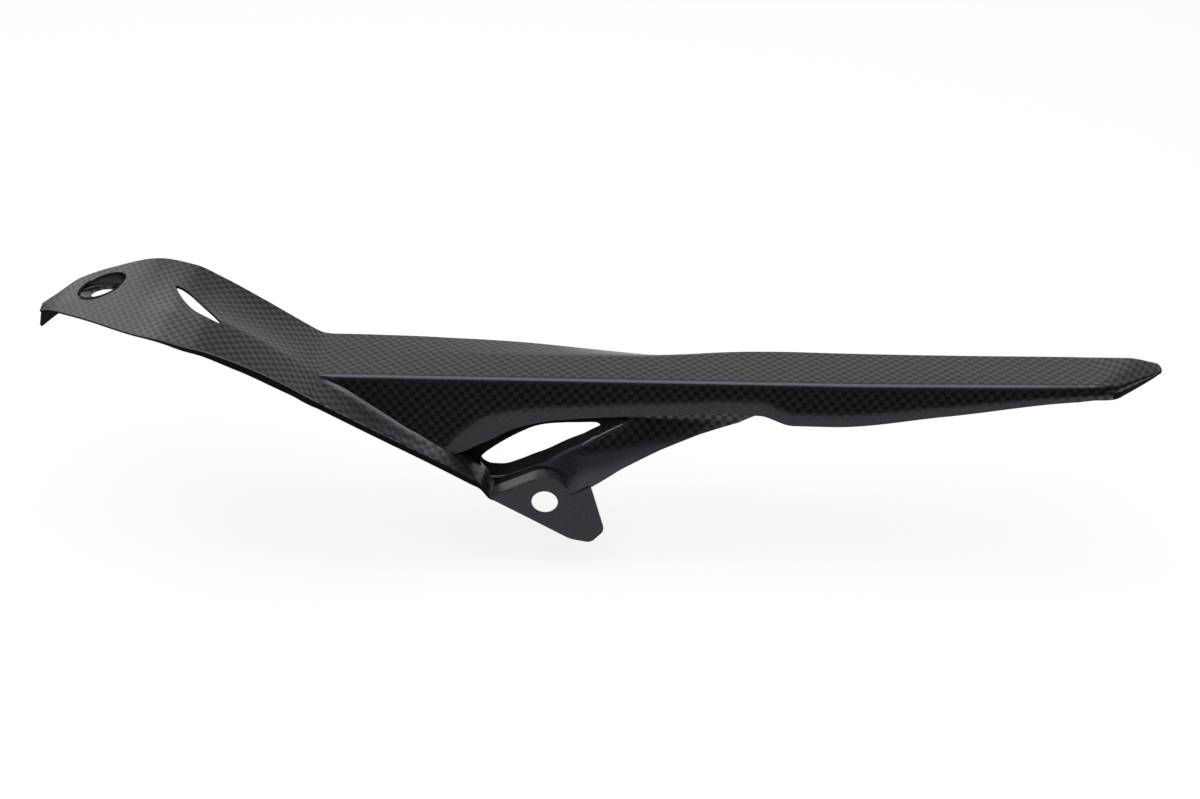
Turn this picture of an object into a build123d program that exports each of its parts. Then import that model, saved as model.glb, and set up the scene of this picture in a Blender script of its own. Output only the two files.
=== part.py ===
"""Upper chain guard of a motorcycle, one carbon-fibre moulding.

The bolt axis of the bracket runs along Y through the origin, which lies on the bracket's outer face.
X runs rearward along the crease, Y runs inboard and Z up. Millimetres.
"""

import os
from math import cos, radians, sin, tan

from build123d import *

# Laminate
wall = 1.2
crease_round = 1.6
hem = 0.2

# Crease: the long outer edge of the beak, level and parallel to X
crease_in = 15.0
crease_up = 45.5
apex_x = -85.0
side_lean_deg = 20.0

# Bracket with its bolt hole, and the boss wall round it
bolt_hole_d = 10.0
boss_radius = 11.0
boss_depth = 11.5
boss_foot = (-20.6, 2.4)
boss_shoulder_deg = 115.0
boss_end_deg = 20.0
boss_wall_end_deg = -5.0
bracket_toe = (9.8, -16.8)
bracket_tip = (17.8, -18.4)
bracket_heel = (22.9, -12.7)
bracket_notch = (17.4, 7.6)
bracket_round = 2.0

# Front hole in a level spot face, placed ahead of the apex and in from the crease
front_hole_d = 10.5
spot_face_d = 18.5
spot_face_sink = 3.5
spot_face_reach = 14.0
front_hole_ahead = 92.3
front_hole_in = 44.8

# Leaf slot in the front sheet: its two tips, ahead of the apex and in from the crease
slot_tail = (36.7, 11.0)
slot_nose = (60.0, 34.6)
slot_width = 6.1

# Front lip, turned down along the front edge: points ahead, in and up of the edge
lip_height = 9.0
lip_flare_deg = 25.0
lip_path = [(117.5, 41.8, 4.7), (112.1, 48.1, 7.9), (104.8, 54.1, 11.7)]

# Tail: slanted in plan, with rounded corners and a bevel along its top edge.
# The outline's points lie behind the apex and in from the crease
tail_outline = [(-10.0, -23.0), (230.0, -4.0), (294.4, -1.7), (326.7, 23.4), (313.5, 32.0), (-10.0, 36.0)]
tail_corner_round = 25.0
tail_tip_round = 5.0
bevel_behind = 293.5
bevel_slant_deg = 48.0
bevel_pitch_deg = 31.0
tail_block_behind = 280.0
tail_height = 2 * crease_up

# Web behind the rim: its lower plan line, its lower edge, and the heights where it bends and ends
web_wall = 1.5
web_low = 5.0
web_high = 31.0
web_top = 38.5
web_behind_rim = 12.6
web_reach = 30.0
web_left = [(-37.0, 16.0), (-29.0, 10.0), (-27.0, 4.0)]
web_low_line = [
    (-38.0, 10.3),
    (-14.0, 10.5),
    (-1.0, 9.9),
    (8.0, 6.0),
    (15.5, 1.0),
    (25.0, 1.8),
    (40.0, 4.5),
    (60.0, 8.1),
    (82.0, 12.0),
]
web_foot = [(10.5, 0.5), (17.4, 6.6)]
web_edge = [(28.3, 11.6), (43.2, 18.0), (58.0, 23.8), (72.7, 28.2), (80.0, 31.2)]

# Window in the web. Its lower edge has a reveal, given as X, Z and the rise of the reveal inboard
reveal_depth = 7.0
reveal_lift = 0.3
reveal_path = [
    (-26.0, 9.0, 1.0),
    (-21.2, 4.4, 2.8),
    (-16.6, 4.8, 1.7),
    (-10.3, 7.5, 1.0),
    (-5.6, 9.7, 1.4),
    (-0.4, 12.0, 2.0),
    (9.5, 18.9, 0.7),
    (19.7, 24.8, -0.7),
    (29.0, 29.2, -0.6),
]
window_end = [(25.2, 27.8), (24.9, 29.1)]
window_upper = [(19.7, 29.2), (5.4, 28.3), (-0.3, 27.4), (-6.8, 25.0), (-13.6, 21.3), (-22.6, 15.8)]
window_start = [(-25.2, 12.4), (-24.0, 7.4)]

# Where the side face starts behind the apex: its drop there, in walls, and the slope of the groove below it
start_walls = 1.2
start_drop = start_walls * wall
groove_slope = 0.65
start_behind = start_drop / groove_slope

# Front sheet sections ahead of the apex: near edge, ridge and far edge, each in from and up from the crease,
# the dip of the middle below the line from ridge to far edge, and the height of the skirt under the near edge
front_sections = [
    (-start_behind, (-15.0, -3.2), (0.0, 0.0), (33.5, 0.0), 0.0, 3.0),
    (0.0, (-14.8, -2.0), (1.0, 0.0), (33.6, 0.0), 0.0, 3.0),
    (4.5, (-13.6, 0.5), (3.5, 1.0), (34.3, 0.5), 0.1, 3.4),
    (12.0, (-11.8, 3.2), (6.8, 4.4), (36.0, 3.6), 0.5, 3.9),
    (28.0, (-9.2, 9.4), (11.2, 11.4), (40.0, 11.4), 0.9, 3.2),
    (44.0, (-6.8, 13.4), (13.8, 16.4), (45.3, 17.8), 0.6, 2.0),
    (56.0, (-1.6, 14.0), (16.0, 16.6), (50.0, 21.0), 0.2, 1.6),
    (70.0, (7.0, 12.7), (22.0, 15.2), (54.2, 21.6), 0.0, 1.4),
    (92.0, (23.5, 9.7), (33.0, 11.4), (55.4, 16.6), 0.0, 1.4),
    (105.0, (33.6, 7.2), (39.5, 8.6), (54.9, 12.0), 0.0, 1.4),
    (112.6, (39.0, 5.6), (42.6, 6.5), (48.8, 8.1), 0.0, 1.4),
    (118.0, (41.0, 4.5), (43.2, 4.95), (44.8, 5.3), 0.0, 1.4),
]

# Strip sections behind the apex: drop of the near edge below the crease and the lip below it, then the inner
# edge, in from the crease and its drop. The last section meets the boss
strip_end_rise = 1.8
strip_sections = [
    (start_behind, 3.2, 2.8, -0.5, 0.7),
    (10.0, 7.7, 2.8, -2.6, 7.6),
    (23.0, 15.2, 2.8, -5.2, 15.1),
    (38.0, 23.7, 2.8, -8.2, 23.3),
    (49.0, 30.1, 2.8, -8.8, 27.1),
    (57.0, 34.9, 2.8, -6.0, 32.5),
    (60.5, 37.1, 2.6, -5.0, 36.7),
    (
        boss_foot[0] - apex_x,
        crease_up - boss_foot[1],
        wall + hem,
        -4.5,
        crease_up - boss_foot[1] - strip_end_rise,
    ),
]

# Beak sections behind the apex: rise of the crease, drop of the side face, drop of the rim below it, start of
# the flange in from the crease, then the flange's far edge, in from and up from the crease
beak_sections = [
    (start_behind, 0.0, start_drop, 1.0, 20.0, 33.5, 0.0),
    (23.0, 0.0, 15.0, 1.2, 20.0, 33.5, -0.2),
    (38.0, 0.0, 23.4, 1.2, 20.0, 33.4, -0.5),
    (46.0, 0.0, 25.8, 1.4, 20.0, 33.3, -0.8),
    (54.0, 0.0, 20.0, 8.0, 20.0, 33.2, -1.0),
    (62.0, 0.0, 15.0, 12.0, 20.0, 33.1, -1.3),
    (74.0, 0.0, 12.3, 8.8, 20.0, 33.0, -1.9),
    (89.0, 0.0, 10.9, 4.6, 19.6, 33.0, -3.2),
    (120.0, 0.0, 9.2, 4.2, 18.6, 32.8, -6.0),
    (153.0, 0.0, 7.6, 4.4, 19.8, 32.0, -8.0),
    (165.0, 0.0, 7.7, 4.9, 21.2, 31.5, -8.4),
    (178.0, 0.0, 11.7, 4.2, 22.7, 30.8, -8.8),
    (193.0, 0.0, 11.8, 4.2, 23.2, 30.4, -8.6),
    (235.0, 0.5, 8.4, 3.4, 22.6, 29.2, -7.4),
    (290.0, 1.5, 4.1, 1.9, 21.7, 27.2, -5.4),
    (330.0, 2.3, 4.0, 1.6, 20.6, 25.6, -4.4),
]

# Stations that start and end the beak's lofted spans
beak_spans = [0, 3, 7, 10, 12, 15]


def from_crease(point):
    """A section point given in from and up from the crease, as Y and Z."""
    return (crease_in + point[0], crease_up + point[1])


def shifted(point, across, up):
    """The point moved in its own plane."""
    return (point[0] + across, point[1] + up)


def between(a, b, share):
    """The point that lies a share of the way from a to b."""
    return (a[0] + (b[0] - a[0]) * share, a[1] + (b[1] - a[1]) * share)


def sheet_height(ahead, inward):
    """Height of the front plate's top above the crease, read between the two sections on either side."""
    for first, second in zip(front_sections, front_sections[1:]):
        if first[0] <= ahead <= second[0]:
            share = (ahead - first[0]) / (second[0] - first[0])
            ridge = between(first[2], second[2], share)
            far = between(first[3], second[3], share)
    return ridge[1] + (far[1] - ridge[1]) * (inward - ridge[0]) / (far[0] - ridge[0])


def round_hole(radius, angle_deg):
    """The point at this angle round the bolt hole, as X and Z."""
    return (radius * cos(radians(angle_deg)), radius * sin(radians(angle_deg)))


def boss_arc(radius, start_deg, end_deg):
    """Arc of this radius round the bolt hole, added to the line being drawn."""
    middle_deg = (start_deg + end_deg) / 2
    ThreePointArc(
        round_hole(radius, start_deg),
        round_hole(radius, middle_deg),
        round_hole(radius, end_deg),
    )


def flange_run(bend, far):
    """Direction of the flange at its far edge: twice as steep as the line from its bend."""
    return (far[0] - bend[0], 2 * (far[1] - bend[1]))


def web_bands(start, depth):
    """Sections of the web at the heights where it bends: bands that start this far behind its outer face."""
    bands = []
    for height, line in zip((0.0, web_low, web_high, web_top), 2 * [web_low_line] + 2 * [web_high_line]):
        front = [shifted(point, 0, start) for point in line]
        back = [shifted(point, 0, start + depth) for point in reversed(line)]
        with BuildSketch(Plane.XY.offset(height)) as band:
            with BuildLine():
                Spline(*front)
                Line(front[-1], back[0])
                Spline(*back)
                Line(back[-1], front[0])
            make_face()
        bands.append(band.sketch)
    return bands


def web_face(x, z):
    """Y of the web's outer face, read straight between the points of the low line and up to web_high."""
    for (x0, y0), (x1, y1) in zip(web_low_line, web_low_line[1:]):
        if x0 <= x <= x1:
            low = y0 + (y1 - y0) * (x - x0) / (x1 - x0)
    return low + (web_behind_rim - low) * (z - web_low) / (web_high - web_low)


side_lean = tan(radians(side_lean_deg))
side_wall = wall / cos(radians(side_lean_deg))

# Front sheet: plate, crest and ramp, with the skirt under its near edge
with BuildPart() as front_sheet:
    for ahead, near, ridge, far, dip, skirt in front_sections:
        near = from_crease(near)
        ridge = from_crease(ridge)
        far = from_crease(far)
        middle = shifted(between(ridge, far, 0.5), 0, -dip)
        skirt = max(skirt, wall + hem)
        with BuildSketch(Plane.YZ.offset(apex_x - ahead)):
            with BuildLine():
                Line(near, ridge)
                Spline(ridge, middle, far)
                Line(far, shifted(far, 0, -wall))
                Spline(shifted(far, 0, -wall), shifted(middle, 0, -wall), shifted(ridge, 0, -wall))
                Polyline(
                    shifted(ridge, 0, -wall),
                    shifted(near, wall, -wall),
                    shifted(near, wall, -skirt),
                    shifted(near, 0, -skirt),
                    near,
                )
            make_face()
    loft()

# Front lip: carried along the front edge
flare = lip_height * tan(radians(lip_flare_deg))
with BuildPart() as front_lip:
    for index, (ahead, inward, up) in enumerate(lip_path):
        before = lip_path[max(index - 1, 0)]
        after = lip_path[min(index + 1, len(lip_path) - 1)]
        along = (before[0] - after[0], after[1] - before[1], 0)
        station = Plane(
            origin=(apex_x - ahead, crease_in + inward, crease_up + up - wall / 2),
            x_dir=(along[1], -along[0], 0),
            z_dir=along,
        )
        with BuildSketch(station):
            with BuildLine():
                Polyline((0, 0), (wall, 0), (wall - flare, lip_height), (-flare, lip_height), close=True)
            make_face()
    loft(ruled=True)

# Tail outline in plan, and the bevel along the tail's top edge
tail_points = [(apex_x + behind, crease_in + inward) for behind, inward in tail_outline]
with BuildSketch(Plane.XY) as tail_plan:
    with BuildLine():
        Polyline(*tail_points, close=True)
    make_face()
    fillet(tail_plan.vertices().sort_by_distance(tail_points[2])[0], tail_corner_round)
    fillet(tail_plan.vertices().sort_by_distance(tail_points[3])[0], tail_tip_round)
bevel = Plane(
    origin=(apex_x + bevel_behind, crease_in, crease_up + beak_sections[-2][1]),
    x_dir=(cos(radians(bevel_slant_deg)), sin(radians(bevel_slant_deg)), 0),
    z_dir=(
        sin(radians(bevel_slant_deg)) * sin(radians(bevel_pitch_deg)),
        -cos(radians(bevel_slant_deg)) * sin(radians(bevel_pitch_deg)),
        cos(radians(bevel_pitch_deg)),
    ),
)

# Beak: top face, rounded crease, side face, turned rim and inboard flange, lofted span by span
with BuildPart() as beak:
    for start, end in zip(beak_spans, beak_spans[1:]):
        for behind, rise, side_drop, rim_drop, bend_in, far_in, far_up in beak_sections[start:end + 1]:
            crease = from_crease((0, rise))
            side_end = shifted(crease, -side_drop * side_lean, -side_drop)
            rim_end = shifted(side_end, 0, -rim_drop)
            bend = shifted(crease, bend_in, 0)
            far = shifted(crease, far_in, far_up)
            far_run = flange_run(bend, far)
            with BuildSketch(Plane.YZ.offset(apex_x + behind)) as section:
                with BuildLine():
                    Polyline(rim_end, side_end, crease, bend)
                    Spline(bend, far, tangents=[(1, 0), far_run])
                    Line(far, shifted(far, 0, -wall))
                    Spline(
                        shifted(far, 0, -wall),
                        shifted(bend, 0, -wall),
                        tangents=[(-far_run[0], -far_run[1]), (-1, 0)],
                    )
                    Polyline(
                        shifted(bend, 0, -wall),
                        shifted(crease, side_wall - wall * side_lean, -wall),
                        shifted(side_end, side_wall, 0),
                        shifted(rim_end, side_wall, 0),
                        rim_end,
                    )
                make_face()
                fillet(section.vertices().sort_by_distance(crease)[0], min(crease_round, side_drop))
        loft()
    extrude(tail_plan.sketch, amount=tail_height, mode=Mode.INTERSECT)
    split(bisect_by=bevel, keep=Keep.BOTTOM)

# Hollow of the tail end, one wall inside its outline and bevel
with BuildPart() as tail_hollow:
    with BuildSketch(Plane.XY):
        add(tail_plan.sketch)
        offset(amount=-wall)
    extrude(amount=tail_height)
    split(bisect_by=bevel.offset(-wall), keep=Keep.BOTTOM)

# Tail end: the wall that closes the bevel and the slanted end
with BuildPart() as tail_end:
    behind, rise, side_drop, rim_drop, bend_in, far_in, far_up = beak_sections[-2]
    crease = from_crease((side_wall / 2, rise - wall / 2))
    side_end = shifted(crease, -side_drop * side_lean, wall / 2 - side_drop)
    rim_end = shifted(side_end, 0, -rim_drop)
    bend = shifted(crease, bend_in - side_wall / 2, 0)
    far = shifted(bend, far_in - bend_in, far_up)
    with BuildSketch(Plane.YZ.offset(apex_x + tail_block_behind)):
        with BuildLine():
            Polyline(rim_end, side_end, crease, bend)
            Spline(bend, far, tangents=[(1, 0), flange_run(bend, far)])
            Line(far, rim_end)
        make_face()
    extrude(amount=beak_sections[-1][0] - tail_block_behind)
    extrude(tail_plan.sketch, amount=tail_height, mode=Mode.INTERSECT)
    split(bisect_by=bevel, keep=Keep.BOTTOM)
    add(tail_hollow.part, mode=Mode.SUBTRACT)

# Strip: the ledge that runs down from the ramp to the bracket, with its lip
with BuildPart() as strip:
    for behind, near_drop, lip, inner_in, inner_drop in strip_sections:
        near = (0, crease_up - near_drop)
        inner = from_crease((inner_in + side_wall, -inner_drop))
        with BuildSketch(Plane.YZ.offset(apex_x + behind)):
            with BuildLine():
                Polyline(
                    near,
                    inner,
                    shifted(inner, 0, -wall),
                    shifted(near, wall, -wall),
                    shifted(near, wall, -lip),
                    shifted(near, 0, -lip),
                    close=True,
                )
            make_face()
    loft(ruled=True)

# Bracket plate, and the boss wall that runs inboard from its upper edge
boss_top_deg = (boss_shoulder_deg + boss_end_deg) / 2
boss_inside = boss_radius - wall
with BuildPart() as bracket:
    with BuildSketch(Plane.XZ) as plate:
        with BuildLine():
            Line(boss_foot, round_hole(boss_radius, boss_shoulder_deg))
            boss_arc(boss_radius, boss_shoulder_deg, boss_end_deg)
            Polyline(
                round_hole(boss_radius, boss_end_deg),
                bracket_notch,
                bracket_heel,
                bracket_tip,
                bracket_toe,
                shifted(boss_foot, 0, -wall),
                boss_foot,
            )
        make_face()
        for corner in (bracket_heel, bracket_tip, bracket_toe):
            fillet(plate.vertices().sort_by_distance(corner)[0], bracket_round)
    extrude(amount=-wall)
    with BuildSketch(Plane.XZ):
        with BuildLine():
            Line(boss_foot, round_hole(boss_radius, boss_shoulder_deg))
            boss_arc(boss_radius, boss_shoulder_deg, boss_wall_end_deg)
            Line(round_hole(boss_radius, boss_wall_end_deg), round_hole(boss_inside, boss_wall_end_deg))
            boss_arc(boss_inside, boss_wall_end_deg, boss_shoulder_deg)
            Line(round_hole(boss_inside, boss_shoulder_deg), shifted(boss_foot, 0, -wall))
            Line(shifted(boss_foot, 0, -wall), boss_foot)
        make_face()
    extrude(amount=-boss_depth)

# Web: bent sheet from the bracket up behind the rim, with its window
web_high_line = [(x, web_behind_rim) for x, y in web_low_line]
with BuildPart() as web:
    loft(web_bands(0, web_wall), ruled=True)
    with BuildSketch(Plane.XZ):
        with BuildLine():
            Polyline(
                *web_left,
                shifted(boss_foot, 0, -wall / 2),
                round_hole(boss_radius - wall / 2, boss_shoulder_deg),
                round_hole(boss_radius - wall / 2, boss_top_deg),
                *web_foot,
                *web_edge,
                (web_low_line[-1][0], web_top),
                (web_left[0][0], web_top),
                close=True,
            )
        make_face()
    extrude(amount=-web_reach, mode=Mode.INTERSECT)
    with BuildSketch(Plane.XZ):
        with BuildLine():
            lower_edge = [(x, z) for x, z, rise in reveal_path[1:-1]]
            Spline(*lower_edge, *window_end, *window_upper, *window_start, periodic=True)
        make_face()
    extrude(amount=-web_reach, mode=Mode.SUBTRACT)

# Reveal: the flange that runs inboard from the window's lower edge, cut off inside the web's wall
with BuildPart() as reveal:
    for x, z, rise in reveal_path:
        outer = (web_face(x, z), z + reveal_lift)
        inner = shifted(outer, reveal_depth, rise)
        start = between(outer, inner, -0.5)
        with BuildSketch(Plane.YZ.offset(x)):
            with BuildLine():
                Polyline(start, inner, shifted(inner, 0, -wall), shifted(start, 0, -wall), close=True)
            make_face()
    loft(ruled=True)
    loft(web_bands(web_wall / 3, web_reach), ruled=True, mode=Mode.INTERSECT)

# Front hole: a level spot face with a wall up to the sloping plate
face_up = sheet_height(front_hole_ahead, front_hole_in)
plate_plane = Plane(
    origin=(apex_x - front_hole_ahead, crease_in + front_hole_in, crease_up + face_up),
    z_dir=(
        sheet_height(front_hole_ahead + 1, front_hole_in) - face_up,
        face_up - sheet_height(front_hole_ahead, front_hole_in + 1),
        1,
    ),
)
floor_plane = Plane(plate_plane.origin).offset(-spot_face_sink)
with BuildPart() as spot_face:
    with BuildSketch(floor_plane.offset(-wall)):
        Circle(spot_face_d / 2 + wall)
    extrude(amount=spot_face_reach)
    with BuildSketch(floor_plane):
        Circle(spot_face_d / 2)
    extrude(amount=spot_face_reach, mode=Mode.SUBTRACT)
    split(bisect_by=plate_plane.offset(-wall / 4), keep=Keep.BOTTOM)

# Leaf slot: two arcs between its tips
slot_ends = [(apex_x - ahead, crease_in + inward) for ahead, inward in (slot_tail, slot_nose)]
slot_run = (slot_ends[1][0] - slot_ends[0][0], slot_ends[1][1] - slot_ends[0][1])
half_width = slot_width / 2 / (slot_run[0] ** 2 + slot_run[1] ** 2) ** 0.5
slot_middle = between(slot_ends[0], slot_ends[1], 0.5)
with BuildPart() as leaf_slot:
    with BuildSketch(Plane.XY.offset(crease_up)):
        with BuildLine():
            ThreePointArc(
                slot_ends[0],
                shifted(slot_middle, slot_run[1] * half_width, -slot_run[0] * half_width),
                slot_ends[1],
            )
            ThreePointArc(
                slot_ends[1],
                shifted(slot_middle, -slot_run[1] * half_width, slot_run[0] * half_width),
                slot_ends[0],
            )
        make_face()
    extrude(amount=crease_up)

# The whole moulding
with BuildPart() as chain_guard:
    add(front_sheet.part)
    with BuildSketch(floor_plane):
        Circle(spot_face_d / 2)
    extrude(amount=spot_face_reach, mode=Mode.SUBTRACT)
    add(leaf_slot.part, mode=Mode.SUBTRACT)
    add(spot_face.part)
    with BuildSketch(floor_plane.offset(-2 * wall)):
        Circle(front_hole_d / 2)
    extrude(amount=4 * wall, mode=Mode.SUBTRACT)
    add(front_lip.part)
    add(beak.part)
    add(tail_end.part)
    add(strip.part)
    add(web.part)
    add(reveal.part)
    add(bracket.part)
    with BuildSketch(Plane.XZ):
        Circle(bolt_hole_d / 2)
    extrude(amount=-2 * wall, mode=Mode.SUBTRACT)

chain_guard.part.label = "chain_guard"
os.makedirs("parts", exist_ok=True)
export_step(chain_guard.part, "parts/chain_guard.step")
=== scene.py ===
# %% [markdown]
# # Motorcycle chain guard in carbon cloth
# The guard is one moulding: cloth laid in a mould, soaked in resin, cured, trimmed and lacquered to a satin
# finish. This lesson draws its skin as surfaces given by formulas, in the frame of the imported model. Sizes
# are in millimetres until a mesh is made. The frame and the studio are in metres.

import math

import bmesh
import bpy
import mathutils
import numpy as np
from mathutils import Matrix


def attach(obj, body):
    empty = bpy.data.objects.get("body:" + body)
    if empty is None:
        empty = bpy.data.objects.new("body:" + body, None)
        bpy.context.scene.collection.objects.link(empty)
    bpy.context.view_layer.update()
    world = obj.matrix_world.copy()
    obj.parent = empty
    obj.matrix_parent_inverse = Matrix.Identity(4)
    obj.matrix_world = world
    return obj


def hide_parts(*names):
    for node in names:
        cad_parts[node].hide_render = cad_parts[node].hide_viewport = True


MM = 0.001
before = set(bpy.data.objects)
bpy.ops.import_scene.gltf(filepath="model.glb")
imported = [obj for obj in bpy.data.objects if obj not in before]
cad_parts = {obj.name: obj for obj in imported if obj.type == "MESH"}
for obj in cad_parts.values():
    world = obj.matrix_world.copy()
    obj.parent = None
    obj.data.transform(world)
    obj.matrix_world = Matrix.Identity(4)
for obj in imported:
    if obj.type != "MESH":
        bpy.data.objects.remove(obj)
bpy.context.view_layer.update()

# %% [markdown]
# ## Tools for drawing sheets
# A moulding like this is described by its cross sections, as a boat is by its frames. One function carries
# numbers smoothly from section to section, and one rounds the corners of a section. The others measure along
# a row, ease the fold between two heights, and set flat points at one depth.

# %% Tools for drawing sheets
# A rounded corner has this many points, and takes at most this share of a run
turn_columns = 8
corner_room = 0.45
# The least length that divides another
tiny = 1e-9


def through(table, at):
    """A curve through a table's rows, which lie where the first column says: cubic, without overshoot.

    The slope at a row is the harmonic mean of the slopes on its two sides, or zero where they differ in sign.
    """
    table = np.asarray(table, float)
    stations = table[:, 0]
    values = table[:, 1:]
    gaps = np.diff(stations)[:, None]
    rates = np.diff(values, axis=0) / gaps
    before = rates[:-1]
    after = rates[1:]
    same = before * after > 0
    inner = np.where(same, 2 * before * after / np.where(same, before + after, 1), 0)
    slopes = np.vstack([rates[:1], inner, rates[-1:]])
    at = np.asarray(at, float).ravel()
    i = np.clip(np.searchsorted(stations, at, side="right") - 1, 0, len(gaps) - 1)
    gap = gaps[i]
    t = np.clip((at[:, None] - stations[i][:, None]) / gap, 0, 1)
    start = values[i] * (1 + 2 * t) * (1 - t) ** 2 + slopes[i] * gap * t * (1 - t) ** 2
    end = values[i + 1] * t * t * (3 - 2 * t) + slopes[i + 1] * gap * t * t * (t - 1)
    return start + end


def steps(count, end=False):
    """Even shares from 0 to 1, with or without the end."""
    return np.linspace(0, 1, count, endpoint=end)


def rounded(corners, cuts, shares, turn=turn_columns):
    """Rows of points along the runs between corners, each inner corner rounded.

    A corner gives way to a quadratic curve that leaves one run and joins the next a cut length from it.
    """
    runs = np.diff(corners, axis=1)
    lengths = np.linalg.norm(runs, axis=2, keepdims=True)
    along = runs / np.maximum(lengths, tiny)
    columns = []
    start = corners[:, :1]
    for k, share in enumerate(shares):
        last = k == len(shares) - 1
        leave = corners[:, k + 1:k + 2]
        if not last:
            room = corner_room * np.minimum(lengths[:, k:k + 1], lengths[:, k + 1:k + 2])
            back = np.minimum(np.reshape(cuts[k], (-1, 1, 1)), room)
            leave = leave - along[:, k:k + 1] * back
        t = np.asarray(share, float)[None, :, None]
        columns.append(start * (1 - t) + leave * t)
        if not last:
            corner = corners[:, k + 1:k + 2]
            start = corner + along[:, k + 1:k + 2] * back
            t = steps(turn)[None, :, None]
            columns.append(leave * (1 - t) ** 2 + 2 * corner * t * (1 - t) + start * t * t)
    return np.concatenate(columns, axis=1)


def lengths_along(points, axis):
    """Length from the first point of each row or column, added up point by point."""
    hops = np.linalg.norm(np.diff(points, axis=axis), axis=2)
    zero = np.zeros_like(np.take(hops, [0], axis=axis))
    return np.concatenate([zero, np.cumsum(hops, axis=axis)], axis=axis)


def soft_min(a, b, blend):
    """The lower of two heights, with the fold between them eased over the blend length."""
    h = np.clip(0.5 + 0.5 * (b - a) / blend, 0, 1)
    return b + (a - b) * h - blend * h * (1 - h)


def at_y(points, y):
    """Points given as X and Z, at one Y."""
    return np.column_stack([points[:, 0], np.full(len(points), y), points[:, 1]])


# %% [markdown]
# ## From points to solid pieces
# Rows of points become a mesh. A sheet gets its wall on the inner side, holes are cut with blocks, and smooth
# shading stops at sharp edges.

# %% From points to solid pieces
# Points this close are one point, and an edge is sharp where its faces meet at more than this angle
weld = 0.005
sharp_angle = math.radians(35)


def sheet_mesh(name, grids):
    """One mesh from grids of points, each with weave coordinates, weave show and black faces.

    A weave show below zero paints a highlight; black faces are cut edges and painted shade.

    Points that coincide are joined, so grids that share a row become one sheet.
    """
    points, faces, weave, shows, dark_faces = [], [], [], [], []
    first = 0
    for grid, cloth, show, black_faces in grids:
        rows, cols = grid.shape[:2]
        index = first + np.arange(rows * cols).reshape(rows, cols)
        quads = np.stack([index[:-1, :-1], index[1:, :-1], index[1:, 1:], index[:-1, 1:]], axis=-1)
        points.append(grid.reshape(-1, 3))
        faces.append(quads.reshape(-1, 4))
        weave.append(cloth.reshape(-1, 2))
        shows.append(np.broadcast_to(show, (rows, cols)).ravel())
        dark_faces.append(np.broadcast_to(black_faces, (rows - 1, cols - 1)).ravel())
        first += rows * cols
    mesh = bpy.data.meshes.new(name)
    mesh.from_pydata((np.concatenate(points) * MM).tolist(), [], np.concatenate(faces).tolist())
    corner = np.empty(len(mesh.loops), int)
    mesh.loops.foreach_get("vertex_index", corner)
    layer = mesh.uv_layers.new(name="weave")
    layer.data.foreach_set("uv", np.concatenate(weave)[corner].astype(np.float32).ravel())
    shown = mesh.attributes.new("weave_show", "FLOAT", "POINT")
    shown.data.foreach_set("value", np.concatenate(shows).astype(np.float32))
    for material in (carbon, black_edge_and_shade):
        mesh.materials.append(material)
    mesh.polygons.foreach_set("material_index", np.concatenate(dark_faces).astype(np.int32))
    work = bmesh.new()
    work.from_mesh(mesh)
    bmesh.ops.remove_doubles(work, verts=work.verts, dist=weld * MM)
    work.to_mesh(mesh)
    work.free()
    return mesh


def bake(piece):
    """Replaces the piece's mesh by what its modifiers make of it."""
    graph = bpy.context.evaluated_depsgraph_get()
    made = bpy.data.meshes.new_from_object(piece.evaluated_get(graph), depsgraph=graph)
    piece.modifiers.clear()
    piece.data = made


def finish_mesh(piece):
    """Smooth shading, with edges kept sharp where faces meet at more than the sharp angle."""
    piece.data.shade_smooth()
    piece.data.set_sharp_from_angle(angle=sharp_angle)
    print(piece.name, len(piece.data.vertices), "points", len(piece.data.polygons), "faces")


def piece_from(name, grids, wall=None, even=True):
    """An object in the scene from grids, made solid on its inner side if a wall thickness is given."""
    piece = bpy.data.objects.new(name, sheet_mesh(name, grids))
    bpy.context.scene.collection.objects.link(piece)
    if wall:
        solid = piece.modifiers.new("wall", "SOLIDIFY")
        solid.thickness = wall * MM
        solid.offset = -1
        solid.use_even_offset = even
        solid.material_offset_rim = 1
        bake(piece)
    finish_mesh(piece)
    return piece


def prism(name, outline, low, high, skin):
    """A closed block in one material: an outline of 3-D points carried by two vectors, one to each end."""
    count = len(outline)
    points = np.concatenate([outline + low, outline + high]) * MM
    ring = np.arange(count)
    after = (ring + 1) % count
    sides = np.stack([ring, after, after + count, ring + count], axis=-1).tolist()
    mesh = bpy.data.meshes.new(name)
    mesh.from_pydata(points.tolist(), [], sides + [ring[::-1].tolist(), (ring + count).tolist()])
    work = bmesh.new()
    work.from_mesh(mesh)
    bmesh.ops.recalc_face_normals(work, faces=work.faces)
    work.to_mesh(mesh)
    work.free()
    mesh.materials.append(skin)
    block = bpy.data.objects.new(name, mesh)
    bpy.context.scene.collection.objects.link(block)
    return block


def cut(piece, block, keep="DIFFERENCE"):
    """Trims a piece with a block, and takes the block away again."""
    trim = piece.modifiers.new("trim", "BOOLEAN")
    trim.operation = keep
    trim.solver = "EXACT"
    trim.material_mode = "TRANSFER"
    trim.object = block
    bake(piece)
    bpy.data.objects.remove(block)
    finish_mesh(piece)


# %% [markdown]
# ## Materials
# A material is a tree of nodes. One function turns a colour from sRGB hex into linear light, and one adds a
# node with its settings and links.

# %% Nodes
def linear(hex_colour):
    """A colour written as sRGB hex, as linear red, green, blue and alpha."""
    parts = np.array([int(hex_colour[i:i + 2], 16) for i in (1, 3, 5)]) / 255
    parts = np.where(parts <= 0.04045, parts / 12.92, ((parts + 0.055) / 1.055) ** 2.4)
    return (*parts, 1.0)


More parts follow.
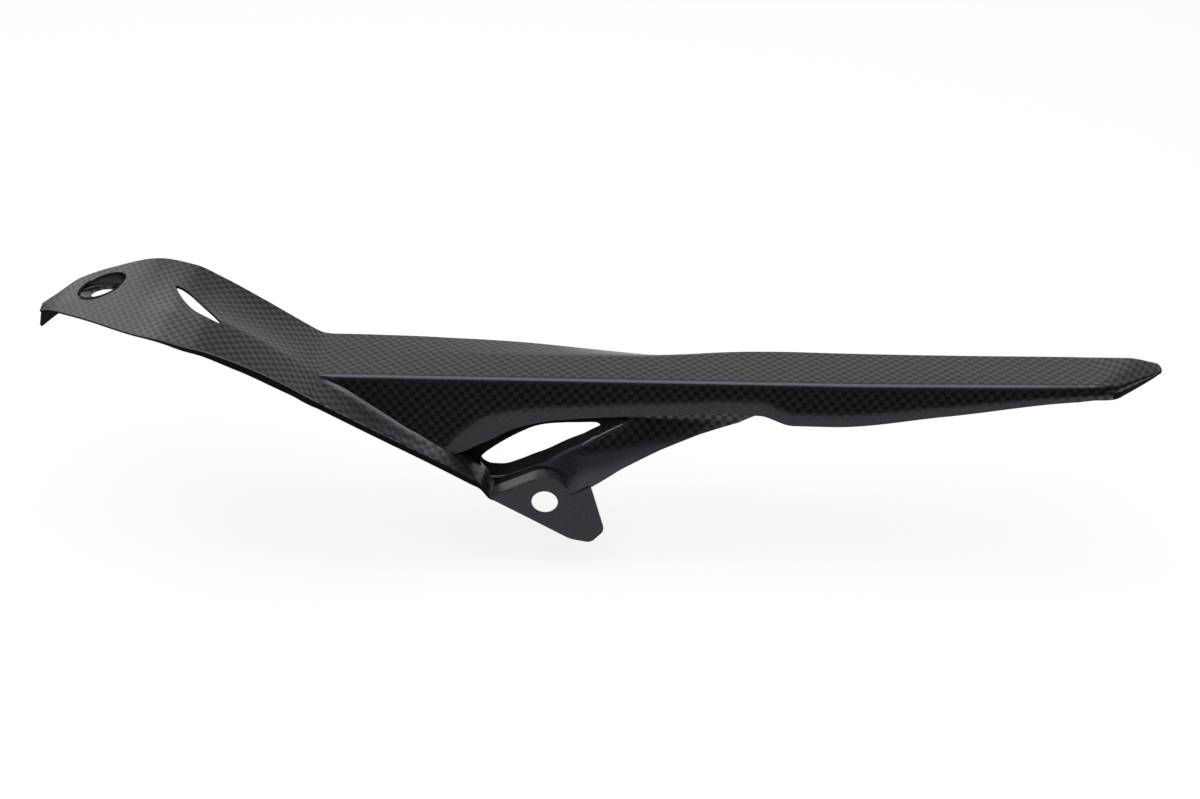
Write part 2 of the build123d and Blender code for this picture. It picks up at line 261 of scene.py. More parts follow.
def add(tree, kind, inputs=None, **settings):
    """A node with its settings; an input is a socket to link from or a value to set."""
    node = tree.nodes.new(kind)
    for name, value in settings.items():
        setattr(node, name, value)
    for key, value in (inputs or {}).items():
        if isinstance(value, bpy.types.NodeSocket):
            tree.links.new(value, node.inputs[key])
        else:
            node.inputs[key].default_value = value
    return node


# %% [markdown]
# ### Satin carbon
# Carbon cloth in plain weave: each tow passes over one neighbour and under the next, so the surface is a
# board of small pillows. Tows that lie along the light and tows that lie across it reflect it differently,
# and that sheen is painted into the colours of light and dark cells. The satin lacquer over them blurs the
# reflections.

# %% Satin carbon
tow_pitch = 2.03
cloth_turn = math.radians(5.4)
pillow_height = 0.12
pillow_power = 0.5
# Half width of the step from one tow to the next
tow_step = 0.25
# Shine of a dark tow and of a bright one, the film's place between them,
# and what a painted highlight adds to it
shine_low = 0.25
shine_high = 0.85
film_shine = 0.15
highlight_shine = 0.6
# The film's grain is drawn coarser than the real one, so that it shows
film_grain = 1.1
grain_low = 0.3
grain_high = 0.7

carbon = bpy.data.materials.new("carbon_plain_weave_satin_lacquer")
carbon.use_nodes = True
tree = carbon.node_tree
tree.nodes.clear()
cloth = add(tree, "ShaderNodeUVMap", uv_map="weave")
turned = add(tree, "ShaderNodeMapping", {
    "Vector": cloth.outputs[0],
    "Rotation": (0, 0, cloth_turn),
    "Scale": (math.pi / tow_pitch, math.pi / tow_pitch, 1),
})
both = add(tree, "ShaderNodeSeparateXYZ", {0: turned.outputs[0]})
warp = add(tree, "ShaderNodeMath", {0: both.outputs[0]}, operation="SINE").outputs[0]
weft = add(tree, "ShaderNodeMath", {0: both.outputs[1]}, operation="SINE").outputs[0]
board = add(tree, "ShaderNodeMath", {0: warp, 1: weft}, operation="MULTIPLY").outputs[0]
# Which tow is on top: warp where the product of the two waves is positive, weft where it is negative
on_top = add(tree, "ShaderNodeMapRange", {
    "Value": board, "From Min": -tow_step, "From Max": tow_step}).outputs[0]
bulge = add(tree, "ShaderNodeMath", {0: board}, operation="ABSOLUTE").outputs[0]
pillow = add(tree, "ShaderNodeMath", {0: bulge, 1: pillow_power}, operation="POWER").outputs[0]

# The weave shows where the attribute is 1, film hides it at 0, and below 0 a paler film paints a highlight
cover = add(tree, "ShaderNodeAttribute", attribute_name="weave_show").outputs["Fac"]
show = add(tree, "ShaderNodeMath", {0: cover, 1: 0.0}, operation="MAXIMUM").outputs[0]
painted_highlight = add(tree, "ShaderNodeMath", {0: cover, 1: -1.0}, operation="MULTIPLY", use_clamp=True).outputs[0]
over = add(tree, "ShaderNodeMath", {0: on_top, 1: film_shine}, operation="SUBTRACT").outputs[0]
cell = add(tree, "ShaderNodeMath", {0: over, 1: show, 2: film_shine}, operation="MULTIPLY_ADD").outputs[0]
# The tows that face the light shine more, and a painted highlight shines more still
glossy = add(tree, "ShaderNodeMath", {
    0: painted_highlight, 1: highlight_shine, 2: cell}, operation="MULTIPLY_ADD").outputs[0]
shine = add(tree, "ShaderNodeMapRange", {
    "Value": glossy, "To Min": shine_low, "To Max": shine_high}).outputs[0]

# A Mix node for colours takes its share at input 0 and its two colours at inputs 6 and 7
# The two tow colours paint the sheen of tows that lie along the light onto the weave pattern
tows = add(tree, "ShaderNodeMix", {
    0: cell, 6: linear("#060606"), 7: linear("#0f0f10")}, data_type="RGBA").outputs[2]
# Resin over the cloth hides the weave under a bluish grey film with a fine grain; a paler grey paints
# highlights
grain = add(tree, "ShaderNodeTexNoise", {
    "Vector": add(tree, "ShaderNodeTexCoord").outputs["Object"],
    "Scale": 1 / (film_grain * MM),
    "Detail": 1.0,
}).outputs["Fac"]
speck = add(tree, "ShaderNodeMapRange", {
    "Value": grain, "From Min": grain_low, "From Max": grain_high}).outputs[0]
thin = add(tree, "ShaderNodeMix", {
    0: speck, 6: linear("#16161a"), 7: linear("#2c2c31")}, data_type="RGBA").outputs[2]
film = add(tree, "ShaderNodeMix", {
    0: painted_highlight, 6: thin, 7: linear("#3c3c43")}, data_type="RGBA").outputs[2]
dark = add(tree, "ShaderNodeMix", {0: show, 6: film, 7: tows}, data_type="RGBA").outputs[2]
height = add(tree, "ShaderNodeMath", {0: pillow, 1: show}, operation="MULTIPLY").outputs[0]
relief = add(tree, "ShaderNodeBump", {
    "Strength": 0.25, "Distance": pillow_height * MM, "Height": height}).outputs[0]
skin = add(tree, "ShaderNodeBsdfPrincipled", {
    "Base Color": dark,
    "Roughness": 0.29,
    "Specular IOR Level": shine,
    "Coat Weight": 0.25,
    "Coat Roughness": 0.3,
    "Normal": relief,
})
add(tree, "ShaderNodeOutputMaterial", {0: skin.outputs[0]})
print("material:", carbon.name)

# %% [markdown]
# ### Sanded edge and painted shade
# The moulding is sawn to its outline after it has cured, and the cut is sanded. Bare ends of the cloth show
# there. The same black material is painted shade on the front lip, the skirt, the band over the window and
# the inboard parts of the window flange and the boss wall.

# %% Sanded edge and painted shade
# The flecks are drawn coarser than real plies, so that they show
ply_fleck = 1.111
# No lacquer on it, so it swallows the light: a black outline, and black where it paints shade
black_edge_and_shade = bpy.data.materials.new("carbon_sanded_edge_and_painted_shade")
black_edge_and_shade.use_nodes = True
tree = black_edge_and_shade.node_tree
tree.nodes.clear()
ply = add(tree, "ShaderNodeTexNoise", {
    "Vector": add(tree, "ShaderNodeTexCoord").outputs["Object"],
    "Scale": 1 / (ply_fleck * MM),
    "Detail": 2.0,
}).outputs["Fac"]
fleck = add(tree, "ShaderNodeMix", {
    0: ply, 6: linear("#040404"), 7: linear("#0c0c0c")}, data_type="RGBA").outputs[2]
rough = add(tree, "ShaderNodeBsdfPrincipled", {
    "Base Color": fleck,
    "Roughness": 0.75,
    "Specular IOR Level": 0.12,
})
add(tree, "ShaderNodeOutputMaterial", {0: rough.outputs[0]})
print("material:", black_edge_and_shade.name)

# %% [markdown]
# ## Beak
# The beak covers the chain: a flat top, a crease, a side face that leans outward, a rim turned straight down
# and a flange that falls away inboard. Its sections are given behind the apex, where the front plate joins.
# At the tail the rows turn to follow the slanted end, and a bevel takes the top down to the trimmed edge.

# %% Beak sections
apex = np.array([-85.0, 15.0, 45.5])
side_lean = math.tan(math.radians(20))

# Behind the apex: crease rise, side drop, rim out, rim down, bend in, far edge in, far edge up
beak_table = np.array([
    (0.0, 0.0, 0.0, 0.0, 0.0, 20.0, 33.5, 0.0),
    (0.7, 0.0, 1.5, 0.3, 0.0, 20.0, 33.5, 0.0),
    (2.4, 0.0, 2.8, 0.6, 0.0, 20.0, 33.5, 0.0),
    (6.0, 0.0, 4.9, 1.0, 0.0, 20.0, 33.5, 0.0),
    (23.0, 0.0, 15.0, 2.0, 0.0, 20.0, 33.5, -0.2),
    (38.0, 0.0, 23.4, 2.0, 0.1, 20.0, 33.4, -0.5),
    (46.0, 0.0, 25.8, 0.5, 1.4, 20.0, 33.3, -0.8),
    (54.0, 0.0, 20.0, 0.0, 8.0, 20.0, 33.2, -1.0),
    (62.0, 0.0, 15.0, 0.0, 9.8, 20.0, 33.1, -1.3),
    (74.0, 0.0, 12.3, 0.0, 6.6, 20.0, 33.0, -1.9),
    (89.0, 0.0, 10.9, 0.0, 4.6, 19.6, 33.0, -3.2),
    (120.0, 0.0, 9.2, 0.0, 4.2, 19.6, 32.8, -6.0),
    (137.0, 0.0, 8.4, 0.0, 4.3, 21.6, 32.4, -7.1),
    (153.0, 0.0, 7.6, 0.0, 4.4, 24.0, 32.0, -8.0),
    (165.0, 0.0, 7.7, 0.0, 4.9, 25.0, 31.5, -8.4),
    (178.0, 0.0, 11.7, 0.0, 4.2, 25.3, 30.8, -8.8),
    (193.0, 0.0, 11.8, 0.0, 4.2, 25.0, 30.4, -8.6),
    (235.0, 0.5, 8.4, 0.0, 3.4, 23.8, 29.2, -7.4),
    (290.0, 1.5, 4.1, 0.0, 1.9, 22.8, 27.2, -5.4),
    (330.0, 2.3, 4.0, 0.0, 1.6, 21.6, 25.6, -4.4),
])

# Tail, behind the apex and in from the crease
tail_start = 284.0
tail_near = np.array([[(tail_start, 0.0, 0.0), (296.6, 0.0, 0.0), (324.0, 22.0, 0.0), (319.6, 26.6, 0.0)]])
tail_near_cuts = [9.0, 3.0]
bevel_behind = 293.5
bevel_slant = math.radians(48)
bevel_fall = math.tan(math.radians(31))
bevel_blend = 2.0
flange_power = 1.15


def beak_height(behind, inward):
    """Height of the beak's top over the crease line at the apex.

    It is level from the crease to the bend, then falls with a power of the way to the far edge. The lower
    of that and the bevel's plane counts.
    """
    rise, bend, far, drop = through(beak_table[:, [0, 1, 5, 6, 7]], behind).T
    rise, bend, far, drop = (value.reshape(behind.shape) for value in (rise, bend, far, drop))
    flange = rise + drop * np.clip((inward - bend) / (far - bend), 0, 1) ** flange_power
    top = float(through(beak_table[:, :2], [bevel_behind])[0, 0])
    away = (behind - bevel_behind) * math.sin(bevel_slant) - inward * math.cos(bevel_slant)
    return soft_min(flange, top - bevel_fall * away, bevel_blend)


print("beak sections:", len(beak_table))

# %% [markdown]
# ### Rows of the beak
# Rows stand across the beak up to the tail. There they fan out: one end follows the slanted near edge, the
# other the far edge, and the side face and rim shrink to the trimmed edge of the cloth.

# %% Rows of the beak
row_step = 1.2
apex_step = 0.4
apex_reach = 8.0
apex_rows = np.arange(0, apex_reach, apex_step)
straight_rows = np.append(apex_rows, np.arange(apex_reach + apex_step, tail_start, row_step))
straight = len(straight_rows)
tail_runs = [steps(8), steps(30), steps(8, end=True)]
tail_turn = 10
near = rounded(tail_near, tail_near_cuts, tail_runs, turn=tail_turn)[0, :, :2]
tail_share = steps(len(near), end=True)[:, None]
tail_far_start = through(beak_table[:, [0, 6]], [tail_start])[0, 0]
tail_far = np.array([(tail_start, tail_far_start)]) * (1 - tail_share) + tail_near[0, 3, :2] * tail_share

crease_x = np.append(straight_rows, near[:, 0])
crease_in = np.append(np.zeros(straight), near[:, 1])
side_run, rim_out, rim_run, bend_in, table_far = through(beak_table[:, [0, 2, 3, 4, 5, 6]], crease_x).T
far_x = np.append(straight_rows, tail_far[:, 0])
far_in = np.append(table_far[:straight], tail_far[:, 1])

tail_edge = 0.8
tail_shrink_end = 0.88
side_shrink_power = 0.7
rim_shrink_power = 0.5
tail_path = lengths_along(near[None], 1)[0]
shrink = np.append(np.ones(straight), 1 - np.clip(tail_path / (tail_shrink_end * tail_path[-1]), 0, 1))
least_edge = tail_edge / 2 * (crease_x > bevel_behind)
side_drop = np.maximum(side_run * shrink ** side_shrink_power, least_edge)
rim_down = np.maximum(rim_run * shrink ** rim_shrink_power, least_edge)
print("beak rows:", len(crease_x))

# %% [markdown]
# ### Surface of the beak
# Each row has its rim, side face and crease with rounded corners, then the level top up to the bend and the
# flange up to the far edge. The bend has a column of points of its own, so that its line stays crisp.

# %% Surface of the beak
rim_columns = 6
side_columns = 10
edge_columns = 4
level_columns = 12
flange_columns = 13
# The first run of the top, next to the crease
edge_run = 4.0
edge_run_share = 0.3
bend_room = 0.05
crease_cut = 2.0
crease_cut_share = 0.4
rim_cut = 2.2

span = np.hypot(far_x - crease_x, far_in - crease_in)
first_in = np.minimum(edge_run, edge_run_share * span) / np.maximum(span, tiny)
bend_share = (bend_in - crease_in) / np.maximum(far_in - crease_in, tiny)
bend_share = np.clip(bend_share, first_in + bend_room, 1 - bend_room)
shares = np.concatenate([
    first_in[:, None] + (bend_share - first_in)[:, None] * steps(level_columns),
    bend_share[:, None] + (1 - bend_share)[:, None] * steps(flange_columns, end=True),
], axis=1)
top_x = crease_x[:, None] * (1 - shares) + far_x[:, None] * shares
top_in = crease_in[:, None] * (1 - shares) + far_in[:, None] * shares
top = np.dstack([top_x, top_in, beak_height(top_x, top_in)])
crease = np.column_stack([crease_x, crease_in, beak_height(crease_x, crease_in)])
side_end = crease - np.column_stack([0 * crease_x, side_drop * side_lean, side_drop])
rim_end = side_end - np.column_stack([0 * crease_x, rim_out, rim_down])
beak_corners = np.stack([rim_end, side_end, crease, top[:, 0]], axis=1)
crease_cuts = np.minimum(crease_cut, crease_cut_share * side_drop)
beak_runs = [steps(rim_columns), steps(side_columns), steps(edge_columns)]
beak_near = rounded(beak_corners, [rim_cut, crease_cuts], beak_runs)
beak_grid = np.concatenate([beak_near, top], axis=1)

crease_column = rim_columns + turn_columns + side_columns + turn_columns // 2
beak_across = lengths_along(beak_grid, 1)
beak_across = beak_across - beak_across[:, [crease_column]]
beak_weave = np.dstack([beak_grid[:, :, 0], beak_across])
beak_grid = beak_grid + apex
print("beak rows and columns:", beak_grid.shape[:2])

# %% [markdown]
# ### Film and painted highlights on the beak
# The rim is covered by film, and film on the rounded crease adds to its highlight. A paler, glossier film
# paints highlights along the crease, round the tip of the side face and along part of the bend. The tail is
# cloth right down to its edge, and that edge is sanded.

# %% Film and painted highlights on the beak
rim_film_columns = 9
rim_fade_columns = 6
# Film over the rounded crease, then a painted highlight along it
crease_film_columns = 3
crease_fade_columns = 2
crease_highlight = 0.5
crease_highlight_columns = 2
# Painted highlight along the bend, and where along the beak it shows
bend_highlight = 1.8
bend_highlight_table = np.array([(0.0, 0.0), (45.0, 0.0), (60.0, 1.0), (115.0, 1.0), (135.0, 0.0)])
# Painted highlight round the tip of the side face
tip_highlight = 0.6
tip_highlight_end = 7.0
tip_highlight_fade = 5.0
tail_cloth_start = 270.0
tail_cloth_fade = 25.0
sanded_in = 1.0
sanded_columns = 18

column = np.arange(beak_grid.shape[1])
bend_column = beak_near.shape[1] + level_columns
crease_away = np.abs(column - crease_column)
rim_show = np.clip((column - rim_film_columns) / rim_fade_columns, 0, 1)
crease_show = np.clip((crease_away - crease_film_columns) / crease_fade_columns, 0, 1)
beak_show = rim_show * crease_show - crease_highlight * (crease_away < crease_highlight_columns)
bend_line = bend_highlight * through(bend_highlight_table, crease_x)
beak_show = np.where(column == bend_column, beak_show - bend_line, beak_show)
below_top = column < crease_column + crease_highlight_columns
tip = np.clip((tip_highlight_end - crease_x) / tip_highlight_fade, 0, 1)[:, None] * below_top
beak_show = beak_show * (1 - tip) - tip_highlight * tip
tail_cloth = np.clip((crease_x - tail_cloth_start) / tail_cloth_fade, 0, 1)[:, None]
beak_show = beak_show + (1 - beak_show) * tail_cloth
tail_end = (crease_in[:-1, None] > sanded_in) & (column[:-1] < sanded_columns)
print("beak faces that are sanded:", int(tail_end.sum()))

# %% [markdown]
# ## Front plate and strip
# Ahead of the apex the top climbs a ramp to a plate that carries the front bolt. Its near side is a flat
# slope with a short skirt under it. Below the apex that slope runs on as a narrow strip, down to the bracket.
# Beak, plate and strip meet on one line across the apex, so the cloth runs on without a seam.

# %% Front plate and strip sections
# Ahead of the apex: near edge in and up, ridge in and up, far edge in and up, dip of the middle, skirt
front_table = np.array([
    (0.0, -15.0, -1.95, 0.0, 0.0, 33.5, 0.0, 0.0, 3.0),
    (3.5, -14.2, -0.4, 2.3, 0.5, 34.1, 0.05, 0.15, 3.1),
    (5.5, -13.6, 0.55, 3.2, 1.15, 34.5, 0.6, 0.3, 3.1),
    (12.0, -11.8, 3.2, 5.2, 4.2, 36.0, 3.6, 1.0, 3.4),
    (28.0, -9.2, 9.4, 9.4, 11.4, 40.0, 11.4, 1.8, 3.0),
    (44.0, -6.8, 13.4, 13.4, 16.4, 45.3, 17.8, 1.4, 1.8),
    (56.0, -1.6, 13.6, 16.0, 16.6, 50.0, 21.0, 0.7, 1.0),
    (70.0, 7.0, 11.9, 22.0, 15.0, 54.2, 21.6, 0.2, 0.6),
    (92.0, 23.5, 8.9, 33.0, 11.3, 55.4, 16.6, 0.0, 0.6),
    (105.0, 33.6, 6.4, 39.5, 8.4, 54.9, 12.0, 0.0, 0.6),
    (112.6, 39.0, 4.9, 42.6, 6.2, 48.8, 8.1, 0.0, 0.6),
    (118.0, 41.0, 3.9, 43.2, 4.7, 44.8, 5.3, 0.0, 0.6),
])

# Behind the apex: drop of the near edge, lip below it
strip_table = np.array([
    (0.0, 1.95, 3.0),
    (2.2, 3.2, 2.8),
    (10.0, 7.7, 2.8),
    (23.0, 15.2, 2.8),
    (38.0, 23.7, 2.8),
    (49.0, 30.1, 2.8),
    (57.0, 34.9, 2.8),
    (60.5, 37.1, 2.6),
    (64.4, 43.1, 1.4),
    (65.4, 43.4, 1.4),
])

# Behind the apex: the inner edge in and down, along the foot of the beak's side face
strip_inner_table = np.array([
    (0.0, 0.0, 0.0),
    (0.7, -0.55, 1.5),
    (2.4, -1.0, 2.8),
    (6.0, -1.8, 4.9),
    (23.0, -5.4, 15.0),
    (38.0, -8.3, 23.4),
    (49.0, -7.0, 27.6),
    (57.0, -2.6, 32.6),
    (60.5, -1.6, 36.8),
    (64.4, -1.2, 41.3),
    (65.4, -1.2, 41.6),
])


def plate_height(ahead, inward):
    """Height of the front plate over the crease line, straight across from its ridge to its far edge."""
    ridge_in, ridge_up, far_in, far_up = through(front_table[:, [0, 3, 4, 5, 6]], ahead).T
    return ridge_up + (far_up - ridge_up) * (inward - ridge_in) / (far_in - ridge_in)


print("front sections:", len(front_table), "strip sections:", len(strip_table))

# %% [markdown]
# ### Surface of the front plate
# A row runs from the foot of the skirt over the near edge and the ridge to the far edge. Its last run has
# the same shares as the beak's first row, so the two sheets meet point to point. The middle dips between the
# ridge and the far edge.

# %% Surface of the front plate
skirt_columns = 4
slope_columns = 12
near_cut = 1.0
ridge_cut = 1.3
ridge_ease = 12.0

skirt_share = steps(skirt_columns)
apex_bend, apex_far = beak_table[0, 5:7]
far_share = np.concatenate([
    edge_run * steps(edge_columns),
    edge_run + (apex_bend - edge_run) * steps(level_columns),
    apex_bend + (apex_far - apex_bend) * steps(flange_columns, end=True),
]) / apex_far

ahead = np.arange(front_table[-1, 0] + 1)[::-1]
near_in, near_up, ridge_in, ridge_up, plate_far_in, far_up, dip, skirt = through(front_table, ahead).T
plate_near = np.column_stack([-ahead, near_in, near_up])
plate_ridge = np.column_stack([-ahead, ridge_in, ridge_up])
plate_far = np.column_stack([-ahead, plate_far_in, far_up])
plate_skirt = plate_near - np.column_stack([0 * ahead, 0 * ahead, skirt])
ridge_cuts = ridge_cut * np.clip(ahead / ridge_ease, 0, 1)
plate_corners = np.stack([plate_skirt, plate_near, plate_ridge, plate_far], axis=1)
plate_grid = rounded(plate_corners, [near_cut, ridge_cuts], [skirt_share, steps(slope_columns), far_share])
plate_grid[:, -len(far_share):, 2] -= dip[:, None] * 4 * far_share * (1 - far_share)

ridge_column = skirt_columns + turn_columns + slope_columns + turn_columns
plate_across = lengths_along(plate_grid, 1)
plate_across = plate_across - plate_across[:, [ridge_column]]
plate_along = lengths_along(plate_grid[::-1], 0)[::-1]
plate_weave = np.dstack([-plate_along[:, [ridge_column]] + 0 * plate_across, plate_across])
plate_grid = plate_grid + apex

# Film along the near edge, and more film over the cloth towards the front, which paints the front plate
# lighter
plate_film_columns = 10
plate_fade_columns = 3
plate_show_table = np.array([(0.0, 1.0), (35.0, 0.9), (85.0, 0.45)])
plate_column = np.arange(plate_grid.shape[1])
plate_show = np.clip((plate_column - plate_film_columns) / plate_fade_columns, 0, 1)
plate_show = plate_show * through(plate_show_table, ahead)
print("front plate rows and columns:", plate_grid.shape[:2])

# %% [markdown]
# ### Surface of the strip
# The strip is crowned between its two edges, and its inner edge curves up into the foot of the side face like
# a gutter. A paler, glossier film in that fold paints its highlight.

# %% Surface of the strip
strip_columns = 13
strip_share_power = 0.6
strip_bow_table = np.array([(0.0, 0.0), (15.0, 1.0), (50.0, 1.0), (65.4, 0.0)])
groove_rise = 2.6
groove_power = 4.0
groove_table = np.array([(0.0, 0.0), (4.0, 0.6), (12.0, 1.0), (45.0, 1.0), (58.0, 0.0)])

strip_end = strip_table[-1, 0]
behind = np.append(np.arange(strip_end), strip_end)
near_drop, lip = through(strip_table, behind).T
inner_in, inner_drop = through(strip_inner_table, behind).T
strip_near = np.column_stack([behind, 0 * behind - apex[1], -near_drop])
strip_lip = strip_near - np.column_stack([0 * behind, 0 * behind, lip])
strip_inner = np.column_stack([behind, inner_in, -inner_drop])
strip_share = steps(strip_columns, end=True) ** strip_share_power
strip_corners = np.stack([strip_lip, strip_near, strip_inner], axis=1)
strip_grid = rounded(strip_corners, [near_cut], [skirt_share, strip_share])
crown = through(strip_bow_table, behind) * 4 * strip_share * (1 - strip_share)
groove = groove_rise * through(groove_table, behind) * strip_share ** groove_power
strip_grid[:, -strip_columns:, 2] += crown + groove
strip_grid[:, -strip_columns:, 1] += side_lean * groove
strip_across = lengths_along(strip_grid, 1)
strip_weave = np.dstack([strip_grid[:, :, 0], strip_across - strip_across[:, -1:]])
strip_grid = strip_grid + apex

# A paler film in the inner fold paints its highlight, and more film further down paints the strip lighter
fold_columns = 3
fold_highlight = 0.7
strip_cloth = 0.6
strip_fade = 40.0
strip_fold = np.arange(strip_grid.shape[1]) >= strip_grid.shape[1] - fold_columns
strip_show = np.where(strip_fold, -fold_highlight, np.clip(1 - behind / strip_fade, strip_cloth, 1)[:, None])

# The skirt and the lip below the near edge are cut edges, and their black also paints the shade
# below the near edge
edge_and_shade_columns = 7
wall = 1.2
shell = piece_from("guard_shell", [
    (beak_grid, beak_weave, beak_show, tail_end),
    (plate_grid, plate_weave, plate_show, np.arange(plate_grid.shape[1] - 1) < edge_and_shade_columns),
    (strip_grid, strip_weave, strip_show, np.arange(strip_grid.shape[1] - 1) < edge_and_shade_columns),
], wall)

# %% [markdown]
# ## Bolt seat
# The front bolt needs a level seat, so a spot face is sunk into the sloping plate: flush at its low side and
# deep at its high side.

# %% Bolt seat
seat = np.array([-177.3, 59.8, 56.04])
seat_radii = np.array([9.25, 6.8, 0.0])
seat_hole_radius = 5.25
seat_count = 96
seat_round = 0.9
seat_hole_round = 0.25
seat_runs = [steps(6), steps(6), steps(4, end=True)]
seat_turn = 6
seat_film_columns = 8
seat_fade_columns = 4
seat_cut_low = np.array([0, 0, -3.0])
seat_cut_high = np.array([0, 0, 14.0])

angle = 2 * np.pi * steps(seat_count + 1, end=True)
ring = np.column_stack([np.cos(angle), np.sin(angle), 0 * angle])
rim_points = seat + seat_radii * ring
plate_up = apex[2] + plate_height(apex[0] - rim_points[:, 0], rim_points[:, 1] - apex[1])
wall_top = np.column_stack([rim_points[:, :2], plate_up])
floor_edge = np.column_stack([rim_points[:, :2], np.minimum(plate_up, seat[2])])
hole_edge = seat + seat_hole_radius * ring
hole_foot = hole_edge - np.array([0, 0, wall])
seat_corners = np.stack([wall_top, floor_edge, hole_edge, hole_foot], axis=1)
seat_grid = rounded(seat_corners, [seat_round, seat_hole_round], seat_runs, turn=seat_turn)
seat_weave = seat_grid[:, :, :2] - apex[:2]
# Film on the wall of the seat, cloth on its floor
seat_show = np.clip((np.arange(seat_grid.shape[1]) - seat_film_columns) / seat_fade_columns, 0, 1)
cut(shell, prism("seat_cut", rim_points[:-1], seat_cut_low, seat_cut_high, carbon))
seat_piece = piece_from("bolt_seat", [(seat_grid, seat_weave, seat_show, False)], wall, even=False)

# %% [markdown]
# ## Slot
# A leaf-shaped slot is cut through the front plate: two bowed edges that meet at a tail and a nose.

# %% Slot
slot_tail = np.array([apex[0] - 36.7, apex[1] + 11.0])
slot_nose = np.array([apex[0] - 60.6, apex[1] + 35.8])
slot_count = 24
# Factor and power of the bow of each edge
slot_bow_near = (11.2, 0.7)
slot_bow_far = (4.59, 0.55)
slot_cut_low = np.array([0, 0, 1.0])
slot_cut_high = np.array([0, 0, 40.0])


def bow(t, factor, power):
    """Bow of a slot's edge: the factor times a power of the way along it, times the way left."""
    return factor * t ** power * (1 - t)


slot_run = slot_nose - slot_tail
slot_across = np.array([-slot_run[1], slot_run[0]]) / np.linalg.norm(slot_run)
slot_t = steps(slot_count)[:, None]
slot_edge = np.concatenate([
    slot_tail + slot_run * slot_t + bow(slot_t, *slot_bow_near) * slot_across,
    slot_nose - slot_run * slot_t - bow(slot_t, *slot_bow_far) * slot_across,
])
slot_outline = np.column_stack([slot_edge, np.full(len(slot_edge), apex[2])])
cut(shell, prism("slot_cut", slot_outline, slot_cut_low, slot_cut_high, black_edge_and_shade))

# %% [markdown]
# ## Front lip
# At the very front the plate's edge is turned down into a short flared lip, which keeps the thin end stiff.

# %% Front lip
lip_height = 8.9
lip_flare = lip_height * math.tan(math.radians(25))
lip_rows = 24
lip_columns = 10
# Step along the lip, then behind, in and up from the apex
lip_path = np.array([(0.0, -117.5, 41.8, 4.6), (1.0, -112.1, 48.1, 7.8), (2.0, -104.8, 54.1, 11.6)])
lip_top = apex + through(lip_path, lip_path[-1, 0] * steps(lip_rows, end=True))
lip_along = np.gradient(lip_top[:, :2], axis=0)
lip_out = np.column_stack([-lip_along[:, 1], lip_along[:, 0]])
lip_out /= np.linalg.norm(lip_out, axis=1, keepdims=True)
lip_foot = lip_top + np.column_stack([lip_flare * lip_out, np.full(len(lip_top), -lip_height)])
lip_t = steps(lip_columns, end=True)[None, :, None]
lip_grid = lip_top[:, None] * (1 - lip_t) + lip_foot[:, None] * lip_t
lip_weave = np.dstack([lengths_along(lip_grid, 0), lengths_along(lip_grid, 1)])
# The whole lip is drawn in the black edge material, which paints its shade
lip_piece = piece_from("front_lip", [(lip_grid, lip_weave, 1.0, True)], wall)

# %% [markdown]
# ## Web with its window
# A bent sheet joins the bracket to the underside of the beak. Low down it follows the bracket's face, higher
# up it leans back behind the rim. A long window is cut in it, with a flange turned inboard along its lower
# edge.

# %% Web sheet
web_wall = 1.5
web_behind_rim = 12.6
web_low_z = 5.0
web_high_z = 31.0
web_lean_power = 1.9
web_shift = 9.0
web_shift_z = 22.0
# X and Y of the outer face low down
web_low_line = np.array([
    (-38.0, 10.3),
    (-14.0, 10.5),
    (-1.0, 9.9),
    (8.0, 6.0),
    (15.5, 0.15),
    (25.0, 1.2),
    (40.0, 4.5),
    (60.0, 8.1),
    (82.0, 12.0),
])


def web_y(x, z):
    """Y of the web's outer face: the low line up to web_low_z, then a lean that grows up to behind the rim.

    Near the bracket the low line is shifted forward, so that the web comes out from behind the boss.
    """
    shift = web_shift * np.clip((web_shift_z - z) / web_shift_z, 0, 1)
    low = through(web_low_line, x + shift).reshape(np.shape(x))
    t = np.clip((z - web_low_z) / (web_high_z - web_low_z), 0, 1)
    return low + (web_behind_rim - low) * t ** web_lean_power


web_span_x = (-37.9, 81.9)
web_span_z = (-1.0, 38.4)
web_rows = np.linspace(*web_span_x, num=121)
web_columns = np.linspace(*web_span_z, num=41)
web_x, web_z = np.meshgrid(web_rows, web_columns, indexing="ij")
web_grid = np.dstack([web_x, web_y(web_x, web_z), web_z])

# Cloth above a slanted line. Below it a pale film paints the light on the lower web: full towards the front,
# and only partly pale towards the rear
cloth_z = 17.5
cloth_slant = 0.12
cloth_fade = 2.0
rear_light_limit = 0.4
rear_light_x = 10.0
rear_light_fade = 5.0
web_show = np.clip((web_z - cloth_z - cloth_slant * web_x) / cloth_fade, -1, 1)
web_show = np.maximum(web_show, -rear_light_limit * np.clip((web_x - rear_light_x) / rear_light_fade, 0, 1))

# The band over the window, above this line in X and Z, is drawn in the black edge material as painted shade
shade_band_line = np.array([
    (-38.0, 3.0),
    (-26.0, 3.0),
    (-21.0, 14.0),
    (-13.6, 19.5),
    (-6.8, 23.0),
    (5.4, 26.3),
    (20.0, 26.5),
    (30.0, 29.3),
])
shade_band_z = through(shade_band_line, web_x).reshape(web_x.shape)
shade_band = (web_z > shade_band_z)[:-1, :-1] & (web_x < shade_band_line[-1, 0])[:-1, :-1]
web = piece_from("web", [(web_grid, np.dstack([web_x, web_z]), web_show, shade_band)], web_wall)

# %% [markdown]
# ### Outline of the web
# The sheet is trimmed by a block with the web's outline: what lies inside the block stays.

